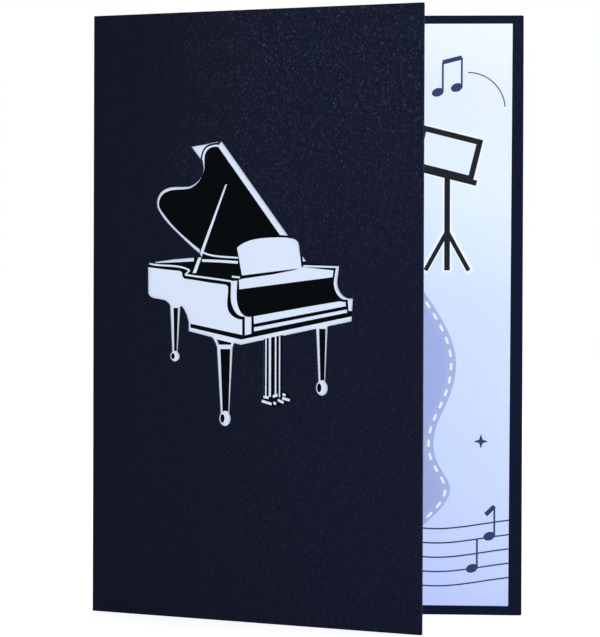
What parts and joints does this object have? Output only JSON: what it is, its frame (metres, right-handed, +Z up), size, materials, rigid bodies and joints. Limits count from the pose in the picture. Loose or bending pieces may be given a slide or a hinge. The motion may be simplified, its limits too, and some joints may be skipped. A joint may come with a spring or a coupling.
{
  "type": "greeting card",
  "caption": "Folded greeting card standing open, its front cut through with a piano-shaped window backed by a printed paper liner.",
  "frame": {"origin": "middle of the standing card's bounding box, on the surface it stands on", "axes": "+Z up along the card's height, the back leaf along +X from the fold, the front leaf swung open towards -Y"},
  "size_m": [0.13, 0.0756, 0.18],
  "materials": {
    "pearl_card": "navy pearl card, thick, with a fine sparkle",
    "liner_paper": "white paper, printed pale blue on its inner pages",
    "black_ink": "black printing ink, satin",
    "slate_ink": "slate blue printing ink",
    "lavender_ink": "lavender printing ink",
    "light_lavender_ink": "light lavender printing ink",
    "white_ink": "white printing ink",
    "charcoal_ink": "charcoal printing ink"
  },
  "bodies": {
    "root": {"cover": "pearl_card", "liner": "liner_paper", "piano_print": "black_ink", "staff_print": "slate_ink", "note_print": "slate_ink", "star_print": "slate_ink", "arc_print": "slate_ink", "ribbon_print": "lavender_ink", "ribbon_edge_print": "light_lavender_ink", "stitch_print": "white_ink", "stand_print": "charcoal_ink", "stand_keyline_print": "white_ink"}
  },
  "joints": []
}
